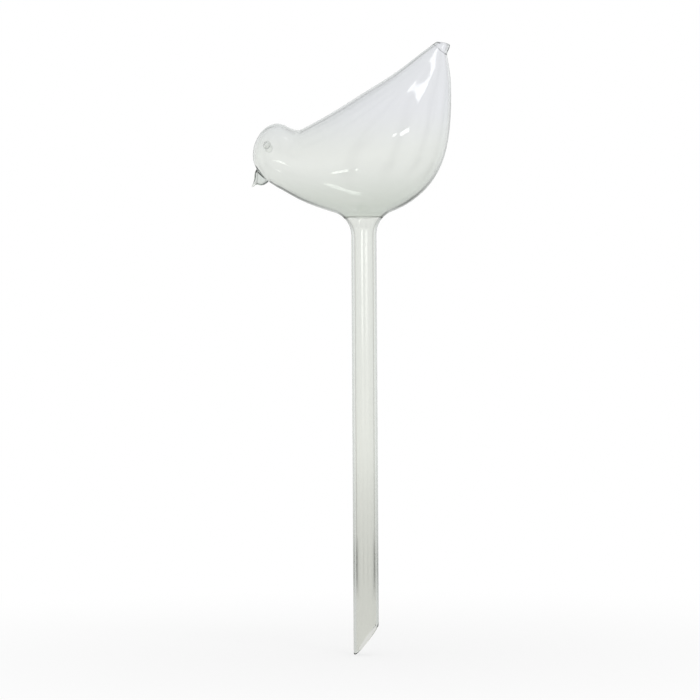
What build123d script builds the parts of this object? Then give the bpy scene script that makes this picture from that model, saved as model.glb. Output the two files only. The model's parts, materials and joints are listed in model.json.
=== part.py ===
"""A clear glass watering globe: a blown bird that holds the water, sealed to a long bevelled stem.

The stem stands on +Z with its tip at level zero and its axis through the origin.
The bird looks along -X, and its tail with the filler mouth points up along +X.
"""
import os
from math import cos, radians, sin, tan

from build123d import *

# Driving dimensions of the stem, in millimetres and degrees: the bevel's angle is from level and it is turned
# a little about the stem, and its edges are melted round by the polish
stem_length = 190.2
stem_diameter = 11.0
stem_wall = 1.2
bevel_angle = 51.5
bevel_turn = 8.0
bevel_polish = 0.45
neck_blend = 10.5

# Driving dimensions of the bird: its reach is from the stem's axis to the front of its head, and its height
# is from the seal on the stem to just over the rim of the mouth
bird_length = 86.1
bird_height = 76.3
bird_depth = 47.0
bird_reach = 47.9
bird_wall = 1.1

# Driving dimensions of the filler mouth, the eyes and the beak, whose droop is from level
mouth_diameter = 5.6
mouth_polish = 0.4
eye_diameter = 3.6
eye_rise = 0.7
eye_polish = 0.5
beak_length = 6.7
beak_width = 4.6
beak_droop = 48.5

# How far the stem's blank runs past its tip before the bevel is cut
overrun = 5.0

# The bird's ribs from the tail's throat round to the face: a back point and a belly point in shares of its
# length and height, the width in shares of its depth, and the slope of the wall as a share of its thickness
rib_shares = [
    ((0.912, 0.982), (0.981, 0.919), 0.139, 1.05),
    ((0.840, 0.923), (0.997, 0.809), 0.308, 1.06),
    ((0.735, 0.833), (1.001, 0.654), 0.524, 1.05),
    ((0.616, 0.747), (0.991, 0.476), 0.766, 1.04),
    ((0.500, 0.666), (0.935, 0.258), 0.950, 1.02),
    ((0.393, 0.592), (0.791, 0.082), 1.000, 1.00),
    ((0.306, 0.537), (0.564, 0.000), 0.889, 1.00),
    ((0.254, 0.506), (0.362, 0.042), 0.733, 1.00),
    ((0.219, 0.497), (0.250, 0.091), 0.624, 1.00),
    ((0.179, 0.514), (0.190, 0.126), 0.559, 1.00),
    ((0.126, 0.534), (0.149, 0.153), 0.512, 1.02),
    ((0.067, 0.514), (0.119, 0.172), 0.466, 1.10),
    ((0.024, 0.460), (0.100, 0.186), 0.409, 1.25),
    ((0.001, 0.393), (0.087, 0.195), 0.326, 1.45),
    ((0.000, 0.326), (0.077, 0.204), 0.222, 1.70),
]
# The last rib of the outside, where the wall closes over the face under the beak
face_share = ((0.019, 0.268), (0.065, 0.215), 0.111)

# Every rib is drawn in equal arcs from its back point round: one seam runs along the back and two lie low on
# the sides, in degrees, so that none crosses the neck
rib_seam_angles = (0, 120, 240)

# Where the mouth's rim, the eyes and the root of the beak lie, in shares of the bird's length and height
mouth_share = (0.963, 0.996)
eye_share = (0.072, 0.403)
beak_share = (0.044, 0.240)

# Ribs of the filler mouth between the throat and the rim, in shares of its width from the rim's middle
mouth_rib_shares = [
    ((-0.655, -0.095), (0.340, -0.785), 1.08),
    ((-0.560, -0.025), (0.480, -0.475), 1.00),
    ((-0.500, 0.010), (0.525, -0.215), 1.00),
]

# Ribs of the beak from inside the face to the tip, in shares of its length along and across its slope
beak_rib_shares = [
    ((-0.19, 0.56), (-0.21, -0.51), 1.00),
    ((0.17, 0.47), (0.13, -0.57), 0.94),
    ((0.47, 0.26), (0.55, -0.35), 0.60),
    ((0.72, 0.12), (0.70, -0.12), 0.32),
    ((0.89, 0.06), (0.88, -0.07), 0.14),
]
beak_tip_share = (1.02, 0.00)


def on_bird(share):
    """A point of the bird's middle plane from its shares of the bird's length and height."""
    along, up = share
    return Vector(along * bird_length - bird_reach, 0, stem_length + up * bird_height)


def rib_plane(upper, lower):
    """The plane of a rib that stands across the middle plane between two of its points."""
    across = (upper - lower).normalized()
    return Plane((upper + lower) / 2, x_dir=across, z_dir=across.cross(Axis.Y.direction))


def rib(upper, lower, width, inset=0):
    """An elliptical rib between two points of the middle plane, drawn in by an inset all round."""
    tall = (upper - lower).length / 2 - inset
    wide = width / 2 - inset
    with BuildSketch(rib_plane(upper, lower)) as section:
        with BuildLine():
            for seam in rib_seam_angles:
                EllipticalCenterArc((0, 0), tall, wide, start_angle=seam, arc_size=360 / len(rib_seam_angles))
        make_face()
    return section.sketch


def sealed_form(bird_inset, stem_inset):
    """The bird's bubble running out through its neck into the stem, as one closed form."""
    ribs = []
    for upper, lower, width, slope in rib_shares:
        ribs.append(rib(on_bird(upper), on_bird(lower), width * bird_depth, bird_inset * slope))
    if not bird_inset:
        upper, lower, width = face_share
        ribs.append(rib(on_bird(upper), on_bird(lower), width * bird_depth))
    with BuildPart() as form:
        loft(sections=ribs)
        with BuildSketch(Plane.XY.offset(-overrun)):
            Circle(stem_diameter / 2 - stem_inset)
        extrude(amount=overrun + stem_length + stem_diameter)
        stem_side = form.faces().filter_by(GeomType.CYLINDER)
        neck = stem_side.edges().group_by(Axis.Z)[-1]
        fillet(neck, neck_blend + stem_inset)
    return form.part


outside = sealed_form(0, 0)
inside = sealed_form(bird_wall, stem_wall)
seal = Plane.XY.offset(stem_length)

# Bird bulb: the blown bubble with head, breast and tail, open below at the seal and above at the throat
with BuildPart() as bird_bulb:
    add(outside)
    add(inside, mode=Mode.SUBTRACT)
    split(bisect_by=seal, keep=Keep.TOP)
bird_bulb.part.label = "bird_bulb"

# Stem tube: its top is flared out to meet the bird, its foot is cut to a slanting point and melted smooth
tip_angle = 90 - bevel_angle
polish_rise = bevel_polish / tan(radians(tip_angle / 2)) - bevel_polish
bevel_middle = stem_diameter / 2 * tan(radians(bevel_angle)) - polish_rise
bevel = Plane.XY.offset(bevel_middle).rotated((0, -bevel_angle, bevel_turn), Extrinsic.XYZ)
with BuildPart() as stem_tube:
    add(outside)
    add(inside, mode=Mode.SUBTRACT)
    split(bisect_by=seal, keep=Keep.BOTTOM)
    split(bisect_by=bevel, keep=Keep.TOP)
    fillet(stem_tube.faces().filter_by(bevel).edges(), bevel_polish)
stem_tube.part.label = "stem_tube"


def on_mouth(share):
    """A point of the filler mouth from its shares of the mouth's width, about the middle of the rim."""
    along, up = share
    return on_bird(mouth_share) + Vector(along, 0, up) * mouth_diameter


def mouth_form(inset):
    """The mouth from the tail's throat up to its rim, drawn in by an inset all round."""
    upper, lower, width, slope = rib_shares[0]
    ribs = [rib(on_bird(upper), on_bird(lower), width * bird_depth, inset * slope)]
    for upper, lower, width in mouth_rib_shares:
        ribs.append(rib(on_mouth(upper), on_mouth(lower), width * mouth_diameter, inset))
    with BuildPart() as form:
        loft(sections=ribs)
    return form.part


# Tail lip: the collar that flares out of the throat to the rim of the filler mouth
mouth_outside = mouth_form(0)
mouth_inside = mouth_form(bird_wall)
with BuildPart() as tail_lip:
    add(mouth_outside)
    add(mouth_inside, mode=Mode.SUBTRACT)
    rim = tail_lip.faces().filter_by(GeomType.PLANE).sort_by(Axis.Z)[-1]
    fillet(rim.edges(), mouth_polish)
tail_lip.part.label = "tail_lip"


def on_beak(share):
    """A point of the beak from its shares of the beak's length, along its slope and square to it."""
    along, across = share
    slope = Vector(-cos(radians(beak_droop)), 0, -sin(radians(beak_droop)))
    square = Vector(-sin(radians(beak_droop)), 0, cos(radians(beak_droop)))
    return on_bird(beak_share) + (slope * along + square * across) * beak_length


# Beak: a pinch of solid glass melted onto the face and drawn out to a fine point
beak_ribs = []
for upper, lower, width in beak_rib_shares:
    beak_ribs.append(rib(on_beak(upper), on_beak(lower), width * beak_width))
beak_tip = on_beak(beak_tip_share)
with BuildPart() as beak:
    loft(sections=[*beak_ribs, Vertex(*beak_tip)])
    add(outside, mode=Mode.SUBTRACT)
beak.part.label = "beak"

# Eyes: a flat dot of glass melted onto each side of the head
side_line = Axis(on_bird(eye_share), Axis.Y.direction)
seats = outside.shell().find_intersection_points(side_line)
left_seat, left_normal = seats[0]
with BuildPart() as eye_left:
    with BuildSketch(Plane(left_seat, z_dir=left_normal)):
        Circle(eye_diameter / 2)
    extrude(amount=eye_rise, both=True)
    fillet(eye_left.edges().filter_by(GeomType.CIRCLE), eye_polish)
    add(outside, mode=Mode.SUBTRACT)
eye_left.part.label = "eye_left"

with BuildPart() as eye_right:
    add(eye_left)
    mirror(about=Plane.XZ, mode=Mode.REPLACE)
eye_right.part.label = "eye_right"

os.makedirs("parts", exist_ok=True)
for piece in (bird_bulb, stem_tube, tail_lip, beak, eye_left, eye_right):
    export_step(piece.part, f"parts/{piece.part.label}.step")
    print(piece.part.label, round(piece.part.volume), "mm3", piece.part.is_valid)
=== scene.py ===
# %% [markdown]
# A blown-glass watering globe: the real object is lamp-worked glass, a bubble blown into a bird, a drawn
# tube sealed under its belly, and dabs of clear glass for the beak, the eyes and the lip of the filler
# mouth. All of it is one stuff, so what the eye reads is only how glass bends, mirrors and dims the
# light. The shapes therefore have to be smooth and the walls real: each hollow piece here has an outside
# and an inside skin.

import json
from math import atan2, cos, pi, radians, sin, sqrt, tan

import bmesh
import bpy
import numpy as np
from mathutils import Matrix, Vector
from mathutils.bvhtree import BVHTree


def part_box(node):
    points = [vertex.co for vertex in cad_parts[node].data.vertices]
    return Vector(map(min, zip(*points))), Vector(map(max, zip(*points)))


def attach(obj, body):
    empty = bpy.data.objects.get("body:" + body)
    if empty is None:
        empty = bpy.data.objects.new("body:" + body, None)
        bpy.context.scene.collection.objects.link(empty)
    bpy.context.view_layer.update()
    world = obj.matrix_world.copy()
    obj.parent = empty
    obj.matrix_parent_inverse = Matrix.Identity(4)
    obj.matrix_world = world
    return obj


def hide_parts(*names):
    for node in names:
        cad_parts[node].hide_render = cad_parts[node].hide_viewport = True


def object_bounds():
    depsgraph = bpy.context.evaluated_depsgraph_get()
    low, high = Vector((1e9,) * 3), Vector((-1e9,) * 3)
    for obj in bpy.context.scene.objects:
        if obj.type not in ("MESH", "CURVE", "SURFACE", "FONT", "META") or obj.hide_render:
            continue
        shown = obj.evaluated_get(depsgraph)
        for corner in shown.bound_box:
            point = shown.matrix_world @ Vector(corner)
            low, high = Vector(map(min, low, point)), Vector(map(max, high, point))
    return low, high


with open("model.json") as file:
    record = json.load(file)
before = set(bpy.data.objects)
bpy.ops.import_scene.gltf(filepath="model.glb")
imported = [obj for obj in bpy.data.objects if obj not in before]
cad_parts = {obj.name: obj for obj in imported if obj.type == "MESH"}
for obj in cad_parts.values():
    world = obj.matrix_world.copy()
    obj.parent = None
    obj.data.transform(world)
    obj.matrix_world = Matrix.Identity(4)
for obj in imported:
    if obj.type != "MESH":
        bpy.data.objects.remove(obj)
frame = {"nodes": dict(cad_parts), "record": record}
cad_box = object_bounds()
mm = 0.001
seal_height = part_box("stem_tube")[1].z
print("the packed frame holds", ", ".join(sorted(frame["nodes"])))
print("the seal lies", round(seal_height / mm, 1), "mm above the tip")

# %% [markdown]
# The camera looks level at the globe from its left side, far enough away that a long lens shows it with
# little perspective. A camera this plain has no tricks: its distance and the width of the view at the
# object give the focal length. The stem leans a third of a degree in the picture, which is a camera held
# slightly crooked.

# %% Set up the camera
camera_distance = 1.2
view_width = 0.30436
view_centre = Vector((-0.00632, 0, 0.13237))
camera_roll = -0.334

lens = bpy.data.cameras.new("studio_camera")
lens.lens = lens.sensor_width * camera_distance / view_width
camera = bpy.data.objects.new("studio_camera", lens)
bpy.context.scene.collection.objects.link(camera)
place = Matrix.Translation(view_centre - Vector((0, camera_distance, 0)))
upright = Matrix.Rotation(radians(90), 4, "X")
camera.matrix_world = place @ upright @ Matrix.Rotation(radians(camera_roll), 4, "Z")
bpy.context.scene.camera = camera
print("lens of", round(lens.lens), "mm at", camera_distance, "m")

# %% [markdown]
# The bird was blown and pulled from one bubble, so its form is a row of round ribs from the throat of
# the tail to the face. Each rib is an ellipse that stands across the bird between a point on its back
# and a point on its belly. The points are shares of the bird's length and height, and the width is a
# share of its depth, so that a few numbers resize the whole bird.

# %% The bird's sizes and its ribs
bird_length = 86.1 * mm
bird_height = 76.3 * mm
bird_depth = 47.0 * mm
bird_reach = 47.9 * mm
bird_wall = 1.1 * mm
mouth_diameter = 5.6 * mm

rib_shares = [
    ((0.912, 0.982), (0.981, 0.919), 0.139, 1.05),
    ((0.840, 0.923), (0.997, 0.809), 0.308, 1.06),
    ((0.735, 0.833), (1.001, 0.654), 0.524, 1.05),
    ((0.616, 0.747), (0.991, 0.476), 0.766, 1.04),
    ((0.500, 0.666), (0.935, 0.258), 0.950, 1.02),
    ((0.393, 0.592), (0.791, 0.082), 1.000, 1.00),
    ((0.306, 0.537), (0.564, 0.000), 0.889, 1.00),
    ((0.254, 0.506), (0.362, 0.042), 0.733, 1.00),
    ((0.219, 0.497), (0.250, 0.091), 0.624, 1.00),
    ((0.179, 0.514), (0.190, 0.126), 0.559, 1.00),
    ((0.126, 0.534), (0.149, 0.153), 0.512, 1.02),
    ((0.067, 0.514), (0.119, 0.172), 0.466, 1.10),
    ((0.024, 0.460), (0.100, 0.186), 0.409, 1.25),
    ((0.001, 0.393), (0.087, 0.195), 0.326, 1.45),
    ((0.000, 0.326), (0.077, 0.204), 0.222, 1.70),
]
face_share = ((0.019, 0.268), (0.065, 0.215), 0.111, 1.70)
mouth_share = (0.963, 0.996)
mouth_rib_shares = [
    ((-0.655, -0.095), (0.340, -0.785), 1.08, 1.00),
    ((-0.560, -0.025), (0.480, -0.475), 1.00, 1.00),
    ((-0.500, 0.010), (0.525, -0.215), 1.00, 1.00),
]


def on_bird(share):
    """The x and z of a point of the bird's middle plane, from its shares of the length and height."""
    along, up = share
    return along * bird_length - bird_reach, seal_height + up * bird_height


def bird_rows(rows):
    """Ribs as rows of back x, back z, belly x, belly z, width and slope, in metres."""
    table = []
    for back, belly, width, slope in rows:
        table.append([*on_bird(back), *on_bird(belly), width * bird_depth, slope])
    return table


def mouth_rows(rows):
    """Ribs of the filler mouth, whose shares run from the middle of its rim."""
    middle_x, middle_z = on_bird(mouth_share)
    table = []
    for back, belly, width, slope in rows:
        row = []
        for along, up in (back, belly):
            row += [middle_x + along * mouth_diameter, middle_z + up * mouth_diameter]
        table.append([*row, width * mouth_diameter, slope])
    return table


print(len(rib_shares), "ribs in the bird and", len(mouth_rib_shares), "in the mouth")

# %% [markdown]
# Between the ribs the glass runs without a kink. A natural cubic spline does that: it passes through each
# value and keeps its bend steady there. Glass shows every kink as a broken highlight, so the spline is
# worth its few lines, where straight runs between the ribs would show as bands.

# %% A smooth curve through the ribs


def smooth_through(knots, values, at):
    """The values read at new places along a natural cubic spline."""
    gaps = np.diff(knots)
    slopes = np.diff(values, axis=0) / gaps[:, None]
    system = np.eye(len(knots))
    right = np.zeros_like(values)
    for i in range(1, len(knots) - 1):
        system[i, i - 1 : i + 2] = gaps[i - 1], 2 * (gaps[i - 1] + gaps[i]), gaps[i]
        right[i] = 6 * (slopes[i] - slopes[i - 1])
    bends = np.linalg.solve(system, right)
    i = np.clip(np.searchsorted(knots, at, side="right") - 1, 0, len(knots) - 2)
    gap = gaps[i][:, None]
    low = (knots[i + 1] - at)[:, None] / gap
    high = 1 - low
    bend = ((low**3 - low) * bends[i] + (high**3 - high) * bends[i + 1]) * gap**2 / 6
    return low * values[i] + high * values[i + 1] + bend


def skin_grid(rows, rings, around, inset=0):
    """Rings of points on the skin through the ribs, drawn in by an inset as the inside of the wall is."""
    rows = np.array(rows)
    steps = np.sqrt((np.diff(rows[:, :4], axis=0) ** 2).sum(axis=1))
    knots = np.concatenate([[0], np.cumsum(steps)])
    drawn = smooth_through(knots, rows, np.linspace(0, knots[-1], rings))
    turns = np.linspace(0, 2 * pi, around, endpoint=False)
    grid = np.zeros((rings, around, 3))
    for ring, (back_x, back_z, belly_x, belly_z, width, slope) in zip(grid, drawn):
        across = np.array((back_x - belly_x, 0, back_z - belly_z))
        tall = np.linalg.norm(across) / 2 - inset * slope
        wide = width / 2 - inset * slope
        across = across / np.linalg.norm(across)
        middle = np.array((back_x + belly_x, 0, back_z + belly_z)) / 2
        ring[:] = middle + tall * np.cos(turns)[:, None] * across
        ring[:, 1] += wide * np.sin(turns)
    return grid


bird_rings = 240
bird_around = 160
outside = skin_grid(bird_rows([*rib_shares, face_share]), bird_rings, bird_around)
inside = skin_grid(bird_rows(rib_shares), bird_rings, bird_around, bird_wall)
print("bird's skin of", outside.shape[0], "rings by", outside.shape[1], "points")

# %% [markdown]
# Under the belly the bubble was sealed to the stem and blown out a little, so the two meet in an even
# curve, as if a ball had rolled round the joint. The same ball gives the shape here: at each turn round
# the stem it touches both the stem and the belly, and how high it sits is found by trying it against the
# belly's skin.

# %% The rolling ball that shapes the neck
mounts = {mount["name"]: mount["dims"] for mount in frame["record"]["mounts"]}
stem_radius = mounts["stem"]["r_mm"] * mm
bore_radius = mounts["stem_bore"]["r_mm"] * mm
neck_blend = 10.5 * mm
ball_path = stem_radius + neck_blend
neck_turns = 72
neck_waves = 6
belly_tries = 90
belly_reach_share = 0.7


def grid_faces(rings, around):
    """The four-sided faces between neighbouring rings."""
    faces = []
    for r in range(rings - 1):
        for a in range(around):
            b = (a + 1) % around
            faces.append((r * around + a, r * around + b, (r + 1) * around + b, (r + 1) * around + a))
    return faces


def ball_seat(grid, ball):
    """How high the ball sits and how far out it touches the belly, at each turn, as sums of a few waves."""
    tree = BVHTree.FromPolygons(grid.reshape(-1, 3).tolist(), grid_faces(*grid.shape[:2]))
    under = seal_height - 2 * neck_blend
    heights, touches = [], []
    for turn in np.arange(neck_turns) * 2 * pi / neck_turns:
        tried = []
        for out in np.linspace(stem_radius, ball_path + belly_reach_share * ball, belly_tries):
            start = Vector((out * cos(turn), out * sin(turn), under))
            belly = tree.ray_cast(start, Vector((0, 0, 1)))[0]
            if belly:
                tried.append((belly.z - sqrt(ball**2 - (out - ball_path) ** 2), out))
        lowest = min(tried)
        heights.append(lowest[0])
        touches.append(lowest[1])
    return np.fft.rfft(heights)[:neck_waves], np.fft.rfft(touches)[:neck_waves]


def sum_of_waves(waves, turns):
    """A value that runs smoothly round the stem, from its waves."""
    total = np.full(np.shape(turns), waves[0].real)
    for k in range(1, len(waves)):
        total += 2 * (waves[k].real * np.cos(k * turns) - waves[k].imag * np.sin(k * turns))
    return total / neck_turns


def draw_down(grid, ball):
    """Draws the belly's skin down along the ball, towards the stem."""
    height_waves, touch_waves = ball_seat(grid, ball)
    x, y, z = grid[..., 0], grid[..., 1], grid[..., 2]
    turns = np.arctan2(y, x)
    out = np.hypot(x, y)
    seat = sum_of_waves(height_waves, turns)
    under = (out < sum_of_waves(touch_waves, turns)) & (z < seal_height + neck_blend)
    arc = seat + np.sqrt(np.clip(ball**2 - (ball_path - out) ** 2, 0, None))
    arc = np.where(out < ball_path - ball, seat - (ball_path - ball - out), arc)
    grid[..., 2] = np.where(under, arc, z)
    return height_waves


outer_waves = draw_down(outside, neck_blend)
inner_waves = draw_down(inside, ball_path - bore_radius)
print("the ball sits", round(outer_waves[0].real / neck_turns / mm, 2), "mm up on average")

# %% [markdown]
# Each piece of glass is a closed mesh, because light has to bend on its way in and again on its way
# out. Blender's Solidify modifier could thicken a single skin, but an inside skin of its own follows
# the hollow as the CAD has it. A skin is rings of points with faces between them, and bands and fans of
# faces close it.

# %% Skins, bands and fans


def skin_of(mesh, grid):
    """Adds a grid's points and faces to a bmesh and gives back its rings of vertices."""
    rings = []
    for ring in grid:
        rings.append([mesh.verts.new(point) for point in ring])
    for low, high in zip(rings, rings[1:]):
        for a in range(len(low)):
            b = (a + 1) % len(low)
            mesh.faces.new((low[a], low[b], high[b], high[a]))
    return rings


def ring_between(mesh, one, other):
    """Joins two rings of vertices by a band of faces."""
    for a in range(len(one)):
        b = (a + 1) % len(one)
        mesh.faces.new((one[a], one[b], other[b], other[a]))


def fan_over(mesh, ring, point):
    """Closes a ring of vertices by triangles that meet in one point."""
    top = mesh.verts.new(point)
    for a in range(len(ring)):
        mesh.faces.new((ring[a], ring[(a + 1) % len(ring)], top))


print("each skin of the bird takes", (bird_rings - 1) * bird_around, "faces")

# %% [markdown]
# Hot glass closes in a round, so the bird's face gets a low dome of shrinking rings, where a flat cap
# would mirror like a facet. Where the stem is sealed on, the edges of the outside and the inside have
# different numbers of points. They are joined like a zip, going round the stem and always taking the
# next point by its turn.

# %% Close the open ends
dome_steps = (0.86, 0.7, 0.52, 0.34, 0.17)
outer_dome = 0.42 * mm
inner_dome = 0.2 * mm


def zip_between(mesh, one, other):
    """Joins two rings round the stem's axis, whatever their numbers of points, by a band of triangles."""
    sides = []
    for ring in (one, other):
        placed = sorted(((atan2(v.co.y, v.co.x), v) for v in ring), key=lambda pair: pair[0])
        sides.append([*placed, (placed[0][0] + 2 * pi, placed[0][1])])
    at = [0, 0]
    beyond = 3 * pi
    while any(at[k] < len(sides[k]) - 1 for k in (0, 1)):
        ahead = [sides[k][at[k] + 1][0] if at[k] < len(sides[k]) - 1 else beyond for k in (0, 1)]
        k = 0 if ahead[0] <= ahead[1] else 1
        here = [sides[n][at[n]][1] for n in (0, 1)]
        mesh.faces.new((here[0], here[1], sides[k][at[k] + 1][1]))
        at[k] += 1


def dome_over(mesh, ring, before, rise):
    """Closes a ring with a low dome that rises away from the ring before it."""
    points = np.array([v.co for v in ring])
    middle = points.mean(axis=0)
    across = points[0] - points[len(ring) // 2]
    out = np.cross(across, (0, 1, 0))
    out = out / np.linalg.norm(out)
    if np.dot(out, middle - np.mean([v.co for v in before], axis=0)) < 0:
        out = -out
    last = ring
    for share in dome_steps:
        placed = middle + (points - middle) * share + out * rise * (1 - share**2)
        new = [mesh.verts.new(point) for point in placed]
        ring_between(mesh, last, new)
        last = new
    fan_over(mesh, last, middle + out * rise)


print("the dome over the face rises", round(outer_dome / mm, 2), "mm")

# %% [markdown]
# The bird's solid is its outside skin, its inside skin and the two rings of bare wall between them: one
# at the throat and one where the stem is sealed on. A plane cuts the neck off at the seal. The faces
# are shaded smooth, and an edge is sharp only where the glass has one.

# %% Make the bird
seal_lap = 0.01 * mm
rings_back = 8


def finish_piece(mesh, name, crease=40):
    """Turns a bmesh into an object with smooth faces and sharp edges only where the glass has an edge."""
    bmesh.ops.recalc_face_normals(mesh, faces=mesh.faces)
    data = bpy.data.meshes.new(name)
    mesh.to_mesh(data)
    mesh.free()
    data.shade_smooth()
    data.set_sharp_from_angle(angle=radians(crease))
    piece = bpy.data.objects.new(name, data)
    bpy.context.scene.collection.objects.link(piece)
    print(name, "has", len(data.polygons), "faces")
    return piece


def cut_at_seal(mesh, skin):
    """Cuts off what hangs below the seal from a skin just added, and gives back the cut's points."""
    cut = bmesh.ops.bisect_plane(
        mesh,
        geom=skin,
        plane_co=(0, 0, seal_height - seal_lap),
        plane_no=(0, 0, 1),
        clear_inner=True,
    )
    return [v for v in cut["geom_cut"] if isinstance(v, bmesh.types.BMVert)]


def make_bird():
    """The blown bubble as one closed solid of glass."""
    mesh = bmesh.new()
    throats, cuts = [], []
    for grid, rise in ((outside, outer_dome), (inside, inner_dome)):
        older = set(mesh.faces)
        rings = skin_of(mesh, grid)
        dome_over(mesh, rings[-1], rings[-rings_back], rise)
        throats.append(rings[0])
        faces = set(mesh.faces) - older
        edges = {edge for face in faces for edge in face.edges}
        points = {point for face in faces for point in face.verts}
        cuts.append(cut_at_seal(mesh, [*points, *edges, *faces]))
    ring_between(mesh, *throats)
    zip_between(mesh, *cuts)
    return finish_piece(mesh, "blown_bird")


bird = make_bird()

# %% [markdown]
# The stem is drawn tube. Its top flares along the same ball as the bird's neck, so the two run into
# each other at the seal. Each of its walls is a column of rings, close together in the flare and
# farther apart in the straight run below it.

# %% The stem's walls
stem_around = 128
flare_height = 10.0 * mm
straight_from = 22.0 * mm
flare_rings = 40
straight_rings = 40

turns = np.linspace(0, 2 * pi, stem_around, endpoint=False)


def tube_ring(radius, heights):
    """A ring round the stem's axis, with a radius and a height at each turn."""
    return np.stack([radius * np.cos(turns), radius * np.sin(turns), heights + 0 * turns], axis=1)


def flared_ring(waves, ball, height):
    """A ring of the flared top, whose wall follows the ball from where the ball touches the tube."""
    rise = np.clip(height - sum_of_waves(waves, turns), 0, None)
    return tube_ring(ball_path - np.sqrt(ball**2 - rise**2), height)


def wall_lines(waves, ball, radius):
    """The rings of one wall from the seal down to where its foot starts to round."""
    low = seal_height - flare_height
    top = [flared_ring(waves, ball, h) for h in np.linspace(seal_height, low, flare_rings)]
    return top + [tube_ring(radius, h) for h in np.linspace(low, straight_from, straight_rings)[1:]]


print("each wall of the stem has", flare_rings + straight_rings - 1, "rings over its foot")

# %% [markdown]
# The foot is cut on the slant and held in the flame until its edges melt round. A slanting plane could
# cut a plain tube, but it would leave sharp edges. So the lines down the walls are drawn to the cut
# instead, and each ends in a short curve that stands for the melted edge.

# %% Make the stem
bevel_angle = radians(51.5)
bevel_turn = radians(8.0)
bevel_polish = 0.45 * mm
foot_rings = 24
edge_steps = (0.12, 0.3, 0.5, 0.7, 0.88)
face_steps = (0.33, 0.67)

polish_rise = bevel_polish / tan((pi / 2 - bevel_angle) / 2) - bevel_polish
bevel_middle = stem_radius * tan(bevel_angle) - polish_rise


def foot_edge(radius):
    """The edge where the slanting cut would meet the wall, if nothing had melted."""
    lean = radius * np.cos(turns - bevel_turn)
    return tube_ring(radius, bevel_middle + tan(bevel_angle) * lean)


def melted(before, corner, after, angle):
    """Rings of a round arc in a corner of that angle, from the line before it to the line after it."""
    rings = []
    for t in edge_steps:
        pull = 2 * t * (1 - t) * np.sin(angle / 2)
        ring = (1 - t) ** 2 * before + pull * corner + t**2 * after
        rings.append(ring / ((1 - t) ** 2 + pull + t**2))
    return rings


def make_stem():
    """The drawn tube with its flared top and its slanting foot, as one closed solid of glass."""
    outer = wall_lines(outer_waves, neck_blend, stem_radius)
    inner = wall_lines(inner_waves, ball_path - bore_radius, bore_radius)
    outer_edge = foot_edge(stem_radius)
    inner_edge = foot_edge(bore_radius)
    over = inner_edge - outer_edge
    width = np.linalg.norm(over, axis=1)[:, None]
    over = over / width
    up = np.array((0, 0, 1.0))
    angle = np.arccos(over[:, 2])[:, None]
    outer_start = bevel_polish / np.tan(angle / 2)
    inner_start = bevel_polish / np.tan((pi - angle) / 2)
    outer_low = outer_edge + up * outer_start
    inner_low = inner_edge + up * inner_start
    for wall, low in ((outer, outer_low), (inner, inner_low)):
        top = wall[-1].copy()
        for t in np.linspace(0, 1, foot_rings)[1:]:
            wall.append(top + (low - top) * t)
    outer_face = outer_edge + over * outer_start
    inner_face = inner_edge - over * inner_start
    foot = [*melted(outer_low, outer_edge, outer_face, angle), outer_face]
    foot += [outer_face + (inner_face - outer_face) * t for t in face_steps]
    foot += [inner_face, *melted(inner_face, inner_edge, inner_low, pi - angle)]
    mesh = bmesh.new()
    rings = skin_of(mesh, np.array(outer + foot + inner[::-1]))
    ring_between(mesh, rings[-1], rings[0])
    return finish_piece(mesh, "drawn_stem", crease=50)


stem = make_stem()

# %% [markdown]
# The lip is a dab of glass at the tip of the tail, opened into the little filler mouth. It goes on from
# the throat through three ribs of its own, and its rim is melted round: a half circle of rings from the
# outside skin over to the inside one.

# %% Make the lip of the filler mouth
lip_rings = 28
lip_around = 96
rim_steps = 10
rings_for_rim = 6
lip_rows = bird_rows(rib_shares[:1]) + mouth_rows(mouth_rib_shares)


def make_lip():
    """The flared lip, as one closed solid of glass."""
    outer = skin_grid(lip_rows, lip_rings, lip_around)
    inner = skin_grid(lip_rows, lip_rings, lip_around, bird_wall)
    out = outer[1].mean(axis=0) - outer[0].mean(axis=0)
    out = out / np.linalg.norm(out)
    for grid in (outer, inner):
        grid[0] -= out * seal_lap
    along = outer[-1] - outer[-2]
    along = along / np.linalg.norm(along, axis=1)[:, None]
    middle = (outer[-1] + inner[-1]) / 2
    half = np.linalg.norm(outer[-1] - inner[-1], axis=1)[:, None] / 2
    rim = []
    for t in np.linspace(0, pi, rim_steps + 1)[1:-1]:
        rim.append(middle - along * half + (outer[-1] - middle) * cos(t) + along * half * sin(t))
    keep = lip_rings - rings_for_rim
    mesh = bmesh.new()
    body = np.concatenate([outer[:keep], np.array(rim), inner[:keep][::-1]])
    rings = skin_of(mesh, body)
    ring_between(mesh, rings[-1], rings[0])
    return finish_piece(mesh, "mouth_lip", crease=50)


lip = make_lip()

# %% [markdown]
# The beak and the eyes are dabs of solid glass pressed onto the hot bubble. Each keeps the curve of the
# head where it sits: a ray tree of the head's skin gives the nearest place on it for each point of the
# base. Melted glass has no air in its joints, so the pieces lap by a hundredth of a millimetre, as they
# do at the seal.

# %% The head's skin, for seating the dabs
head_ring_share = 0.86
head_tree = BVHTree.FromPolygons(outside.reshape(-1, 3).tolist(), grid_faces(*outside.shape[:2]))
head_middle = Vector(outside[int(bird_rings * head_ring_share)].mean(axis=0))


def nearest_on_head(point):
    """The place on the head's skin nearest to a point, and the way straight out of the skin there."""
    place, normal, _, _ = head_tree.find_nearest(Vector(point))
    if normal.dot(place - head_middle) < 0:
        normal = -normal
    return place, normal


def height_over_head(point):
    """How far a point stands out of the head's skin, less than zero inside it."""
    place, normal = nearest_on_head(point)
    return (Vector(point) - place).dot(normal)


def on_head(point):
    """The place on the head's skin nearest to a point, and a little under it."""
    place, normal = nearest_on_head(point)
    return np.array(place - normal * seal_lap)


print("the head's middle is", [round(c / mm, 1) for c in head_middle])

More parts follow.
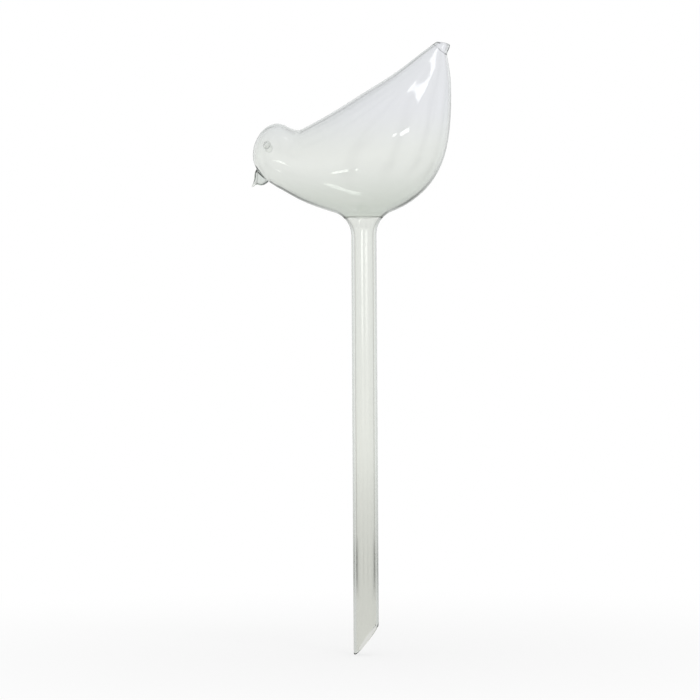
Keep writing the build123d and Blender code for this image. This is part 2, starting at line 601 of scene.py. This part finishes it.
# %% [markdown]
# The beak was pinched from its dab and drawn out to a thread. It is a skin through ribs as the bird is,
# drawn along its own slope. Each line of the skin starts where it comes out of the face, and the base
# under it is laid on the face ring by ring.

# %% Make the beak
beak_length = 6.7 * mm
beak_width = 4.6 * mm
beak_droop = radians(48.5)
beak_share = (0.044, 0.240)
beak_rib_shares = [
    ((-0.19, 0.56), (-0.21, -0.51), 1.00),
    ((0.17, 0.47), (0.13, -0.57), 0.94),
    ((0.47, 0.26), (0.55, -0.35), 0.60),
    ((0.72, 0.12), (0.70, -0.12), 0.32),
    ((0.89, 0.06), (0.88, -0.07), 0.14),
    ((1.01, 0.01), (1.01, -0.01), 0.03),
]
beak_fine_rings = 200
beak_rings = 40
beak_around = 64
base_steps = (0.85, 0.68, 0.5, 0.32, 0.15)


def beak_rows():
    """The beak's ribs in metres, along its slope and square to it."""
    root_x, root_z = on_bird(beak_share)
    table = []
    for back, belly, width in beak_rib_shares:
        row = []
        for along, up in (back, belly):
            x = -cos(beak_droop) * along - sin(beak_droop) * up
            z = -sin(beak_droop) * along + cos(beak_droop) * up
            row += [root_x + x * beak_length, root_z + z * beak_length]
        table.append([*row, width * beak_width, 1])
    return table


def make_beak():
    """The beak, as one closed solid of glass seated on the face."""
    fine = skin_grid(beak_rows(), beak_fine_rings, beak_around)
    lines = []
    for a in range(beak_around):
        heights = [height_over_head(point) for point in fine[:, a]]
        inside_face = [i for i, h in enumerate(heights) if h < 0]
        start = max(inside_face) if inside_face else 0
        picked = np.linspace(start, len(fine) - 1, beak_rings).astype(int)
        line = fine[picked, a].copy()
        line[0] = on_head(line[0])
        lines.append(line)
    grid = np.array(lines).transpose(1, 0, 2)
    mesh = bmesh.new()
    rings = skin_of(mesh, grid)
    fan_over(mesh, rings[-1], grid[-1].mean(axis=0))
    middle = grid[0].mean(axis=0)
    last = rings[0]
    for share in base_steps:
        placed = [on_head(middle + (point - middle) * share) for point in grid[0]]
        new = [mesh.verts.new(point) for point in placed]
        ring_between(mesh, last, new)
        last = new
    fan_over(mesh, last, on_head(middle))
    return finish_piece(mesh, "drawn_beak", crease=60)


beak = make_beak()

# %% [markdown]
# Each eye is a flat dot with a soft edge. The dot is turned in rings round the line that stands square on
# the head: a base on the skin, a rounded side and a top. The left one's top is slightly hollow, which is
# what makes it read as a ring. The right one melted to a low dome, since no second ring shows through the
# head.

# %% Make the eyes
eye_diameter = 3.6 * mm
eye_rise = 0.7 * mm
eye_share = (0.072, 0.403)
eye_around = 64
eye_base_steps = (0.2, 0.4, 0.6, 0.8, 0.93, 1.0)
ring_profile = [
    (1.00, 0.20),
    (0.99, 0.50),
    (0.94, 0.80),
    (0.86, 0.97),
    (0.78, 1.00),
    (0.70, 0.92),
    (0.62, 0.73),
    (0.52, 0.50),
    (0.40, 0.36),
    (0.25, 0.30),
    (0.10, 0.28),
]
dome_profile = [
    (0.98, 0.05),
    (0.93, 0.13),
    (0.85, 0.22),
    (0.74, 0.32),
    (0.60, 0.42),
    (0.45, 0.50),
    (0.30, 0.55),
    (0.12, 0.58),
]


def make_eye(name, side, profile):
    """One eye on the side of the head that faces the given way along Y."""
    x, z = on_bird(eye_share)
    seat, normal, _, _ = head_tree.ray_cast(Vector((x, side * bird_depth, z)), Vector((0, -side, 0)))
    if normal.y * side < 0:
        normal = -normal
    first = normal.cross(Vector((0, 0, 1))).normalized()
    second = normal.cross(first)
    mesh = bmesh.new()
    rings = []
    angles = np.linspace(0, 2 * pi, eye_around, endpoint=False)
    directions = [first * cos(angle) + second * sin(angle) for angle in angles]
    for share in eye_base_steps:
        rings.append([on_head(seat + d * share * eye_diameter / 2) for d in directions])
    for share, rise in profile:
        rings.append([seat + d * share * eye_diameter / 2 + normal * rise * eye_rise for d in directions])
    rings = skin_of(mesh, rings)
    fan_over(mesh, rings[0], on_head(seat))
    fan_over(mesh, rings[-1], seat + normal * profile[-1][1] * eye_rise)
    return finish_piece(mesh, name, crease=60)


eyes = [make_eye("dot_eye_left", -1, ring_profile), make_eye("dot_eye_right", 1, dome_profile)]

# %% [markdown]
# The finish is clear soda glass. Its surface is fire-bright, and the drawing and blowing leave faint
# waves in it. One noise does both: it bends the surface a little, and it makes the gloss change a little
# from place to place. Drawn tube has its waves stretched along its length, and a blown bubble has broad
# ones.

# %% The waves in the glass
wave_detail = 2
gloss_from = 0.02
gloss_to = 0.1


def add_waves(nodes, links, shader, place, stretch, wave_depth):
    """Faint waves on the surface: stretch sets how close together they lie along each axis."""
    scaled = nodes.new("ShaderNodeMapping")
    scaled.inputs["Scale"].default_value = stretch
    links.new(place.outputs["Object"], scaled.inputs["Vector"])
    waves = nodes.new("ShaderNodeTexNoise")
    waves.inputs["Scale"].default_value = 1
    waves.inputs["Detail"].default_value = wave_detail
    links.new(scaled.outputs["Vector"], waves.inputs["Vector"])
    bump = nodes.new("ShaderNodeBump")
    bump.inputs["Strength"].default_value = 1
    bump.inputs["Distance"].default_value = wave_depth
    links.new(waves.outputs["Fac"], bump.inputs["Height"])
    links.new(bump.outputs["Normal"], shader.inputs["Normal"])
    gloss = nodes.new("ShaderNodeMapRange")
    gloss.inputs["To Min"].default_value = gloss_from
    gloss.inputs["To Max"].default_value = gloss_to
    links.new(waves.outputs["Fac"], gloss.inputs["Value"])
    links.new(gloss.outputs["Result"], shader.inputs["Roughness"])


print("the gloss runs from", gloss_from, "to", gloss_to)

# %% [markdown]
# Glass isn't quite without colour, and it takes on the colours of its room, which are painted into it here.
# The bird is a darker grey-green over the seal, which is painted shade where the belly faces the dimmer
# floor, and a cool white higher up, and the stem is a little warmer towards its foot. A colour ramp along
# the height gives that, with as many stops as there are colours.

# %% The colours of the glass, with painted shade low on the bird


def add_tints(nodes, links, shader, place, heights, tints_and_shade):
    """Colours that stand at rising heights and run softly into each other."""
    height = nodes.new("ShaderNodeSeparateXYZ")
    links.new(place.outputs["Object"], height.inputs["Vector"])
    level = nodes.new("ShaderNodeMapRange")
    level.inputs["From Min"].default_value = heights[0]
    level.inputs["From Max"].default_value = heights[-1]
    links.new(height.outputs["Z"], level.inputs["Value"])
    tint_and_shade = nodes.new("ShaderNodeValToRGB")
    tint_and_shade.color_ramp.interpolation = "EASE"
    stops = tint_and_shade.color_ramp.elements
    while len(stops) < len(heights):
        stops.new(1)
    for stop, at, colour in zip(stops, heights, tints_and_shade):
        stop.position = (at - heights[0]) / (heights[-1] - heights[0])
        stop.color = (*colour, 1)
    links.new(level.outputs["Result"], tint_and_shade.inputs["Fac"])
    links.new(tint_and_shade.outputs["Color"], shader.inputs["Base Color"])


tint_step = 25 * mm
bird_heights = [seal_height + step * tint_step for step in range(3)]
# The first, darker grey-green stop is painted shade, for the dimmer floor under the belly.
bird_tints_and_painted_shade = ((0.84, 0.855, 0.82), (0.965, 0.965, 0.95), (0.967, 0.962, 0.985))
stem_heights = (0, seal_height)
stem_tints = ((0.955, 0.948, 0.915), (0.958, 0.956, 0.936))
print("the bird's tints stand at", [round(height / mm) for height in bird_heights], "mm")

# %% [markdown]
# The edges of glass go grey-green, because light runs a long way through it there. Rims painted dark
# would be wrong as soon as the view turned. Volume absorption does it by itself: the farther a ray runs
# inside the closed solid, the more it takes the colour of the depth.

# %% Mix the glass
glass_bend = 1.47
depth_colour = (0.66, 0.72, 0.69)
depth_density = 200
blown_stretch = (60, 60, 60)
blown_depth = 0.04 * mm
drawn_stretch = (300, 300, 12)
drawn_depth = 0.02 * mm
dab_stretch = (200, 200, 200)


def clear_glass(name, stretch, wave_depth, heights, tints_and_shade):
    """Clear glass with its waves and its colours by height, some of them painted shade, which greys where
    it is thick.
    """
    material = bpy.data.materials.new(name)
    material.use_nodes = True
    nodes, links = material.node_tree.nodes, material.node_tree.links
    shader = nodes["Principled BSDF"]
    shader.inputs["Transmission Weight"].default_value = 1
    shader.inputs["IOR"].default_value = glass_bend
    place = nodes.new("ShaderNodeTexCoord")
    add_waves(nodes, links, shader, place, stretch, wave_depth)
    add_tints(nodes, links, shader, place, heights, tints_and_shade)
    depth = nodes.new("ShaderNodeVolumeAbsorption")
    depth.inputs["Color"].default_value = (*depth_colour, 1)
    depth.inputs["Density"].default_value = depth_density
    links.new(depth.outputs["Volume"], nodes["Material Output"].inputs["Volume"])
    return material


bird_glass = clear_glass("blown_glass", blown_stretch, blown_depth, bird_heights, bird_tints_and_painted_shade)
stem_glass = clear_glass("drawn_glass", drawn_stretch, drawn_depth, stem_heights, stem_tints)
# The dabs take the bird's colours, the painted shade over the seal included.
dab_glass = clear_glass("dab_glass", dab_stretch, drawn_depth, bird_heights, bird_tints_and_painted_shade)

for piece, node, slot, glass in (
    (bird, "bird_bulb", "bird_glass", bird_glass),
    (stem, "stem_tube", "stem_glass", stem_glass),
    (lip, "tail_lip", "lip_glass", dab_glass),
    (beak, "beak", "beak_glass", dab_glass),
    (eyes[0], "eye_left", "eye_glass", dab_glass),
    (eyes[1], "eye_right", "eye_glass", dab_glass),
):
    piece.data.materials.append(glass)
    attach(piece, "root")
    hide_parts(node)
    print(piece.name, "is of", glass.name)

# %% [markdown]
# Clear glass shows nothing but the room round it, so the room is painted with care. A photograph of a
# studio could be wrapped round the scene, but here each tone is reckoned from the way a ray goes by a
# small chain of nodes, and the numbers say what they do. A switch tells whether the camera looks
# straight at something or by way of the glass, because the two see different tones.

# %% Sums, soft steps and switches


def add_math(nodes, links, operation, first, second=None):
    """A maths node fed by sockets or plain numbers."""
    node = nodes.new("ShaderNodeMath")
    node.operation = operation
    for socket, value in zip(node.inputs, (first, second)):
        if isinstance(value, bpy.types.NodeSocket):
            links.new(value, socket)
        elif value is not None:
            socket.default_value = value
    return node.outputs["Value"]


def add_ramp(nodes, links, value, start, end, low, high):
    """A soft step from one number to another while the value runs from start to end."""
    node = nodes.new("ShaderNodeMapRange")
    node.interpolation_type = "SMOOTHSTEP"
    links.new(value, node.inputs["Value"])
    for name, number in (("From Min", start), ("From Max", end), ("To Min", low), ("To Max", high)):
        node.inputs[name].default_value = number
    return node.outputs["Result"]


def rays(nodes, links):
    """Two switches: one where the camera looks straight, and one where it looks by way of the glass."""
    path = nodes.new("ShaderNodeLightPath")
    mirrored, bent = path.outputs["Is Glossy Ray"], path.outputs["Is Transmission Ray"]
    return path.outputs["Is Camera Ray"], add_math(nodes, links, "MAXIMUM", mirrored, bent)


print("sums, soft steps and the switches are ready")

# %% [markdown]
# In a room that is white all over clear glass would vanish, so product photographers keep the backdrop
# white and let the rest of the room fall off: the rims of the glass bend the dimmer parts into view and
# draw their own dark lines. Here the room has eight white walls, and the corners between them and the
# ceiling are dimmer, so that the glass reads well from each side. The camera itself sees plain white.

# %% Light the room
corner_tone = 0.64
corner_from = cos(radians(22))
corner_to = cos(radians(12))
ceiling_tone = 0.84
ceiling_from = sin(radians(16))
ceiling_to = sin(radians(45))
falling_light = 0.8
barely_over_one = 1.0001


def nearest_wall(nodes, links, east, north, reach):
    """How squarely a way points at the nearest of eight walls: one is straight on, less is aside."""
    east, north = (add_math(nodes, links, "ABSOLUTE", way) for way in (east, north))
    slanting = add_math(nodes, links, "MULTIPLY", add_math(nodes, links, "ADD", east, north), sqrt(0.5))
    farther = add_math(nodes, links, "MAXIMUM", slanting, add_math(nodes, links, "MAXIMUM", east, north))
    return add_math(nodes, links, "DIVIDE", farther, reach)


def light_room():
    """A white room with dimmer corners, and softer as the light that falls on things."""
    world = bpy.data.worlds.new("white_room")
    world.use_nodes = True
    nodes, links = world.node_tree.nodes, world.node_tree.links
    straight, by_glass = rays(nodes, links)
    place = nodes.new("ShaderNodeTexCoord")
    way = nodes.new("ShaderNodeSeparateXYZ")
    links.new(place.outputs["Generated"], way.inputs["Vector"])
    level = add_math(nodes, links, "POWER", way.outputs["Z"], 2)
    level = add_math(nodes, links, "SQRT", add_math(nodes, links, "SUBTRACT", barely_over_one, level))
    square_on = nearest_wall(nodes, links, way.outputs["X"], way.outputs["Y"], level)
    walls = add_ramp(nodes, links, square_on, corner_from, corner_to, corner_tone, 1)
    ceiling = add_ramp(nodes, links, way.outputs["Z"], ceiling_from, ceiling_to, 1, ceiling_tone)
    tone = add_math(nodes, links, "MULTIPLY", walls, ceiling)
    falling = nodes["Background"]
    falling.inputs["Color"].default_value = (1, 1, 1, 1)
    falling.inputs["Strength"].default_value = falling_light
    seen = nodes.new("ShaderNodeBackground")
    seen.inputs["Color"].default_value = (1, 1, 1, 1)
    links.new(add_math(nodes, links, "MAXIMUM", straight, tone), seen.inputs["Strength"])
    mix = nodes.new("ShaderNodeMixShader")
    links.new(add_math(nodes, links, "MAXIMUM", straight, by_glass), mix.inputs["Fac"])
    links.new(falling.outputs["Background"], mix.inputs[1])
    links.new(seen.outputs["Background"], mix.inputs[2])
    links.new(mix.outputs["Shader"], nodes["World Output"].inputs["Surface"])
    bpy.context.scene.world = world


light_room()
bpy.context.scene.view_settings.view_transform = "Standard"
print("the corners are at", corner_tone, "of white and the ceiling at", ceiling_tone)

# %% [markdown]
# The floor is a pale sheet. Seen by the camera it is as white as the backdrop, and darker only near the
# foot of the stem, where the soft shadow lies. Seen by way of the glass it glows with painted shade: greyer
# near the foot, as a table is under a product, dimmer towards the room's corners, and with a painted dark
# ring on it, open in front of each wall. The belly's rims bend that ring into view as their dark lines. The
# ring has soft edges, because the stem shows it too.

# %% The floor's painted shade, seen by way of the glass
# Painted shade on the floor, seen only by way of the glass: greyer near the foot, and a dark ring farther
# out.
paper_shade_tone = 0.79
paper_shade_from = 0.2
paper_shade_to = 2.5
corner_reach = 1.5
dark_ring_tone = 0.3
dark_ring_from = cos(radians(20))
dark_ring_to = cos(radians(6))
dark_ring_near = 0.24
dark_ring_far = 0.5
dark_ring_edge = 0.3


def floor_tone(nodes, links, place, reach):
    """The floor's painted tone at a place some reach from the foot: greyer near it, the room's dim corners
    and the dark ring, all painted shade.
    """
    way = nodes.new("ShaderNodeSeparateXYZ")
    links.new(place, way.inputs["Vector"])
    square_on = nearest_wall(nodes, links, way.outputs["X"], way.outputs["Y"], reach)
    paper_shade = add_ramp(nodes, links, reach, paper_shade_from, paper_shade_to, paper_shade_tone, 1)
    dimmed = add_ramp(nodes, links, square_on, corner_from, corner_to, corner_tone, 1)
    undimmed = add_ramp(nodes, links, reach, dark_ring_far, corner_reach, 1, 0)
    dark_ring = add_ramp(nodes, links, square_on, dark_ring_from, dark_ring_to, dark_ring_tone, 1)
    short = add_ramp(nodes, links, reach, dark_ring_near, dark_ring_near + dark_ring_edge, 1, 0)
    beyond = add_ramp(nodes, links, reach, dark_ring_far, dark_ring_far + dark_ring_edge, 0, 1)
    table = add_math(nodes, links, "MULTIPLY", paper_shade, add_math(nodes, links, "MAXIMUM", dimmed, undimmed))
    dark_ring = add_math(nodes, links, "MAXIMUM", dark_ring, add_math(nodes, links, "MAXIMUM", short, beyond))
    return add_math(nodes, links, "MULTIPLY", table, dark_ring)


print("the cloth lies from", dark_ring_near, "to", round(dark_ring_far + dark_ring_edge, 2), "m from the foot")

# %% [markdown]
# The floor itself is one face just under the tip. Its material mixes a matt white sheet, which catches the
# soft shadow, with a plain glow of the tone that was just reckoned, the painted shade included. By way of
# the glass only the glow is seen, and the camera sees the glow with a share of the sheet near the foot.

# %% Lay the floor
floor_size = 6.0
floor_drop = 0.1 * mm
floor_white = 0.9
floor_roughness = 0.9
shadow_reach = 0.35
shadow_share = 0.3


def make_floor():
    """A pale floor just under the tip."""
    data = bpy.data.meshes.new("floor")
    half = floor_size / 2
    low = cad_box[0].z - floor_drop
    corners = [(-half, -half, low), (half, -half, low), (half, half, low), (-half, half, low)]
    data.from_pydata(corners, [], [(0, 1, 2, 3)])
    floor = bpy.data.objects.new("floor", data)
    bpy.context.scene.collection.objects.link(floor)
    material = bpy.data.materials.new("pale_floor")
    material.use_nodes = True
    nodes, links = material.node_tree.nodes, material.node_tree.links
    shader = nodes["Principled BSDF"]
    shader.inputs["Base Color"].default_value = (floor_white, floor_white, floor_white, 1)
    shader.inputs["Roughness"].default_value = floor_roughness
    straight, by_glass = rays(nodes, links)
    place = nodes.new("ShaderNodeNewGeometry")
    far = nodes.new("ShaderNodeVectorMath")
    far.operation = "LENGTH"
    links.new(place.outputs["Position"], far.inputs[0])
    reach = far.outputs["Value"]
    # The tone seen by way of the glass is painted shade.
    table = floor_tone(nodes, links, place.outputs["Position"], reach)
    white = nodes.new("ShaderNodeEmission")
    links.new(add_math(nodes, links, "MAXIMUM", straight, table), white.inputs["Strength"])
    white_share = add_ramp(nodes, links, reach, 0, shadow_reach, 1 - shadow_share, 1)
    shown = add_math(nodes, links, "MULTIPLY", white_share, straight)
    mix = nodes.new("ShaderNodeMixShader")
    links.new(add_math(nodes, links, "MAXIMUM", shown, by_glass), mix.inputs["Fac"])
    links.new(shader.outputs["BSDF"], mix.inputs[1])
    links.new(white.outputs["Emission"], mix.inputs[2])
    links.new(mix.outputs["Shader"], nodes["Material Output"].inputs["Surface"])
    data.materials.append(material)
    print("a floor of", floor_size, "m lies", round(-low / mm, 2), "mm under the tip")


make_floor()

# %% [markdown]
# Softboxes stand beside and above the camera. A round of glass mirrors each as a streak, and the place of
# a streak tells where its lamp stood. The tall lamps for the stem are flagged, as photographers do with
# black card, so that the bird doesn't mirror them, and their parts overlap so that the streaks fade
# downwards.

# %% Set up the softboxes
aim_height = 30 * mm
lamp_distance = 1.2
strip_distance = 1.0
strip_width = 0.3
strip_top = 0.25
strip_sides = (("left", -18.6), ("right", 24.8))
strip_parts = (("top", 0.19, 2.4), ("middle", 0.14, 1.6), ("low", 0.06, 0.6))


def softbox(name, middle, away, along, width, tall, brightness):
    """A soft lamp about a middle point, square to one direction and with its height along another."""
    lamp = bpy.data.lights.new(name, "AREA")
    lamp.shape = "RECTANGLE"
    lamp.size = width
    lamp.size_y = tall
    lamp.energy = brightness * pi * width * tall
    holder = bpy.data.objects.new(name, lamp)
    bpy.context.scene.collection.objects.link(holder)
    turned = Matrix((along.cross(away), along, away)).transposed().to_4x4()
    holder.matrix_world = Matrix.Translation(middle) @ turned
    holder.visible_camera = False
    print(name, "gives", round(lamp.energy, 2), "W")
    return holder


def bird_lamp(name, start, end, width, brightness):
    """A soft lamp between two directions from the bird, each an azimuth and a height in degrees."""
    bird_middle = Vector((0, 0, seal_height + aim_height))
    ends = []
    for azimuth, rise in (start, end):
        turn, lift = radians(azimuth), radians(rise)
        way = Vector((sin(turn) * cos(lift), -cos(turn) * cos(lift), sin(lift)))
        ends.append(bird_middle + way * lamp_distance)
    middle = (ends[0] + ends[1]) / 2
    away = (middle - bird_middle).normalized()
    tall = ends[1] - ends[0]
    along = (tall - away * tall.dot(away)).normalized()
    softbox(name, middle, away, along, width, tall.length, brightness)


def stem_lamp(name, azimuth, low, brightness):
    """An upright soft lamp, flagged so that its light falls on the stem alone."""
    away = Vector((sin(radians(azimuth)), -cos(radians(azimuth)), 0))
    middle = away * strip_distance + Vector((0, 0, (low + strip_top) / 2))
    holder = softbox(name, middle, away, Vector((0, 0, 1)), strip_width, strip_top - low, brightness)
    lit = bpy.data.collections.new(name + "_lights")
    lit.objects.link(stem)
    holder.light_linking.receiver_collection = lit


bird_lamp("window", start=(46, 43), end=(12, 70), width=0.15, brightness=3.6)
bird_lamp("side_lamp", start=(24, 16), end=(35, 17), width=0.1, brightness=5.5)
bird_lamp("small_lamp", start=(15, 18), end=(18, 18.5), width=0.06, brightness=6)
for side, azimuth in strip_sides:
    for part, low, brightness in strip_parts:
        stem_lamp(side + "_" + part, azimuth, low, brightness)
